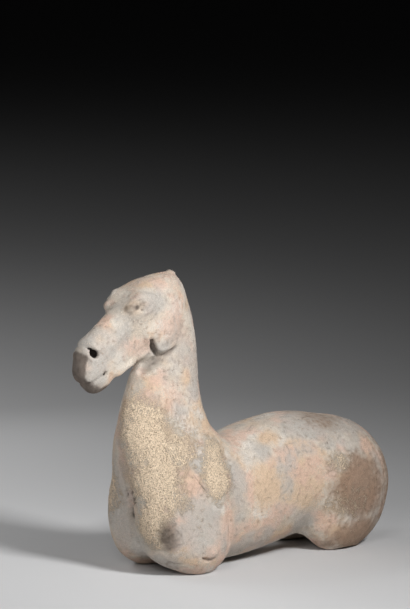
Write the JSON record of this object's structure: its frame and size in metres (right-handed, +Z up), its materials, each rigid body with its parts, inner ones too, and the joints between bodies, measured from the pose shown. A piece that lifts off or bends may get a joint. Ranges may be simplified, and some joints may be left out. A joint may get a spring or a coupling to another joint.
{
  "type": "terracotta horse figure",
  "caption": "Moulded clay horse with a tall upright neck and a lowered head, its legs, ears and tail lost, resting on the stumps of its legs.",
  "frame": {"origin": "on the surface it stands on, below the middle of its box", "axes": "+X to the horse's left, +Y towards its rump, +Z up, so it faces -Y"},
  "size_m": [0.252, 0.7582, 0.5693],
  "materials": {
    "clay": "unglazed grey-brown clay, dusty, with a sandy earth crust"
  },
  "bodies": {
    "root": {"horse": "clay"}
  },
  "joints": []
}
